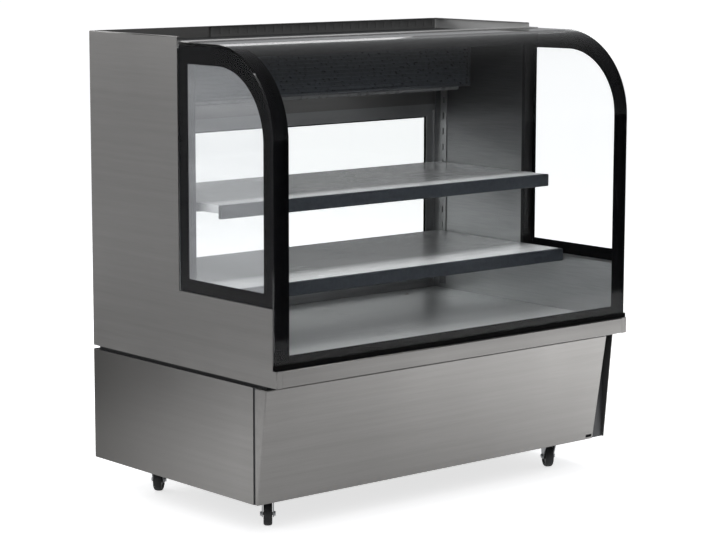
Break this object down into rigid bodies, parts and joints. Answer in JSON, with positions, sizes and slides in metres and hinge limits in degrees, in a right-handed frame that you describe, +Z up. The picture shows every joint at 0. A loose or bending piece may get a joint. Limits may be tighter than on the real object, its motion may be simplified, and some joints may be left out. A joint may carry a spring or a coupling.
{
  "type": "refrigerated display case",
  "caption": "Refrigerated pastry display case with curved front glass, shelves, sliding rear doors, a condensing unit in the base and braked swivel castors.",
  "frame": {"origin": "centre of the bounding box's footprint, on the floor under the castors", "axes": "+X along the counter, to the right of a customer facing the case's front; -Y out of the glass front; +Z up"},
  "size_m": [1.2, 0.766, 1.203],
  "materials": {
    "steel": "brushed",
    "shelf_steel": "satin",
    "liner": "satin",
    "frame_paint": "matte",
    "dark_trim": "matte",
    "nosing_paint": "satin",
    "housing_paint": "satin",
    "compressor_paint": "satin",
    "clear_glass": "polished",
    "black_border": "gloss",
    "seal_rubber": "matte",
    "extrusion": "anodised",
    "coil_metal": "satin",
    "copper_tube": "satin",
    "lamp_white": "diffusing",
    "dark_plastic": "matte",
    "light_plastic": "satin",
    "green_plastic": "gloss",
    "zinc_plate": "zinc plated",
    "tyre_rubber": "matte"
  },
  "bodies": {
    "case": {"base_chassis": "frame_paint", "plinth": "dark_trim", "base_sides": "steel", "front_service_panel": "steel", "rear_service_panel": "steel", "control_panel": "steel", "insulated_floor": "liner", "deck": "shelf_steel", "side_skin_left": "steel", "side_skin_right": "steel", "side_walls": "liner", "front_fascia": "steel", "rear_apron": "steel", "rear_head": "liner", "roof_panel": "liner", "roof_vent": "dark_trim", "front_glass": "clear_glass", "front_glass_seal": "seal_rubber", "side_glass": "clear_glass", "glass_borders": "black_border", "glass_top_rail": "steel", "door_tracks": "extrusion", "upper_shelf": "shelf_steel", "middle_shelf": "shelf_steel", "shelf_nosings": "nosing_paint", "shelf_supports": "shelf_steel", "evaporator_housing": "housing_paint", "lamps": "lamp_white", "condenser_fan_mount": "frame_paint", "evaporator_coil": "coil_metal", "condenser_coil": "coil_metal", "compressor": "compressor_paint", "pipework": "copper_tube", "evaporation_pan": "shelf_steel", "control_unit": "dark_plastic", "power_inlet": "dark_plastic", "castor_plates": "zinc_plate", "screws": "zinc_plate"},
    "door_left": {"rear_door_frame_left": "extrusion", "rear_door_glass_left": "clear_glass"},
    "door_right": {"rear_door_frame_right": "extrusion", "rear_door_glass_right": "clear_glass"},
    "evaporator_fan_left": {"evaporator_fan_left": "dark_plastic"},
    "evaporator_fan_right": {"evaporator_fan_right": "dark_plastic"},
    "condenser_fan": {"condenser_fan": "dark_plastic"},
    "button_up": {"button_up": "light_plastic"},
    "button_set": {"button_set": "light_plastic"},
    "button_down": {"button_down": "light_plastic"},
    "lamp_rocker": {"lamp_rocker": "green_plastic"},
    "castor_fork_front_left": {"castor_fork_front_left": "zinc_plate"},
    "castor_wheel_front_left": {"castor_wheel_front_left": "tyre_rubber"},
    "brake_pedal_front_left": {"brake_pedal_front_left": "dark_plastic"},
    "castor_fork_front_right": {"castor_fork_front_right": "zinc_plate"},
    "castor_wheel_front_right": {"castor_wheel_front_right": "tyre_rubber"},
    "brake_pedal_front_right": {"brake_pedal_front_right": "dark_plastic"},
    "castor_fork_rear_left": {"castor_fork_rear_left": "zinc_plate"},
    "castor_wheel_rear_left": {"castor_wheel_rear_left": "tyre_rubber"},
    "castor_fork_rear_right": {"castor_fork_rear_right": "zinc_plate"},
    "castor_wheel_rear_right": {"castor_wheel_rear_right": "tyre_rubber"}
  },
  "joints": [
    {"name": "door_left_slide", "type": "slide", "parent": "case", "child": "door_left", "axis": [1, 0, 0], "range_m": [0, 0.537]},
    {"name": "door_right_slide", "type": "slide", "parent": "case", "child": "door_right", "axis": [1, 0, 0], "range_m": [-0.537, 0]},
    {"name": "evaporator_fan_left_spin", "type": "hinge", "parent": "case", "child": "evaporator_fan_left", "pos_m": [-0.26, 0.227, 1.0845], "axis": [0, 1, 0], "continuous": true},
    {"name": "evaporator_fan_right_spin", "type": "hinge", "parent": "case", "child": "evaporator_fan_right", "pos_m": [0.26, 0.227, 1.0845], "axis": [0, 1, 0], "continuous": true},
    {"name": "condenser_fan_spin", "type": "hinge", "parent": "case", "child": "condenser_fan", "pos_m": [-0.33, 0.3057, 0.212], "axis": [0, 1, 0], "continuous": true},
    {"name": "button_up_press", "type": "slide", "parent": "case", "child": "button_up", "axis": [0, -1, 0], "range_m": [0, 0.001], "stiffness_N_per_m": 600, "springref_m": -0.001},
    {"name": "button_set_press", "type": "slide", "parent": "case", "child": "button_set", "axis": [0, -1, 0], "range_m": [0, 0.001], "stiffness_N_per_m": 600, "springref_m": -0.001},
    {"name": "button_down_press", "type": "slide", "parent": "case", "child": "button_down", "axis": [0, -1, 0], "range_m": [0, 0.001], "stiffness_N_per_m": 600, "springref_m": -0.001},
    {"name": "lamp_rocker_tilt", "type": "hinge", "parent": "case", "child": "lamp_rocker", "pos_m": [0.3355, 0.374, 0.304], "axis": [1, 0, 0], "range_deg": [-6, 6]},
    {"name": "castor_front_left_swivel", "type": "hinge", "parent": "case", "child": "castor_fork_front_left", "pos_m": [-0.49, -0.208, 0.08], "axis": [0, 0, 1], "continuous": true},
    {"name": "castor_front_left_roll", "type": "hinge", "parent": "castor_fork_front_left", "child": "castor_wheel_front_left", "pos_m": [-0.47892, -0.19382, 0.03], "axis": [0.788, -0.6157, 0], "continuous": true},
    {"name": "brake_front_left_press", "type": "hinge", "parent": "castor_fork_front_left", "child": "brake_pedal_front_left", "pos_m": [-0.47153, -0.18436, 0.066], "axis": [-0.788, 0.6157, 0], "range_deg": [0, 12]},
    {"name": "castor_front_right_swivel", "type": "hinge", "parent": "case", "child": "castor_fork_front_right", "pos_m": [0.49, -0.208, 0.08], "axis": [0, 0, 1], "continuous": true},
    {"name": "castor_front_right_roll", "type": "hinge", "parent": "castor_fork_front_right", "child": "castor_wheel_front_right", "pos_m": [0.499, -0.19241, 0.03], "axis": [0.866, -0.5, 0], "continuous": true},
    {"name": "brake_front_right_press", "type": "hinge", "parent": "castor_fork_front_right", "child": "brake_pedal_front_right", "pos_m": [0.505, -0.18202, 0.066], "axis": [-0.866, 0.5, 0], "range_deg": [0, 12]},
    {"name": "castor_rear_left_swivel", "type": "hinge", "parent": "case", "child": "castor_fork_rear_left", "pos_m": [-0.49, 0.258, 0.08], "axis": [0, 0, 1], "continuous": true},
    {"name": "castor_rear_left_roll", "type": "hinge", "parent": "castor_fork_rear_left", "child": "castor_wheel_rear_left", "pos_m": [-0.47662, 0.27004, 0.03], "axis": [0.6691, -0.7431, 0], "continuous": true},
    {"name": "castor_rear_right_swivel", "type": "hinge", "parent": "case", "child": "castor_fork_rear_right", "pos_m": [0.49, 0.258, 0.08], "axis": [0, 0, 1], "continuous": true},
    {"name": "castor_rear_right_roll", "type": "hinge", "parent": "castor_fork_rear_right", "child": "castor_wheel_rear_right", "pos_m": [0.49616, 0.27491, 0.03], "axis": [0.9397, -0.342, 0], "continuous": true}
  ]
}
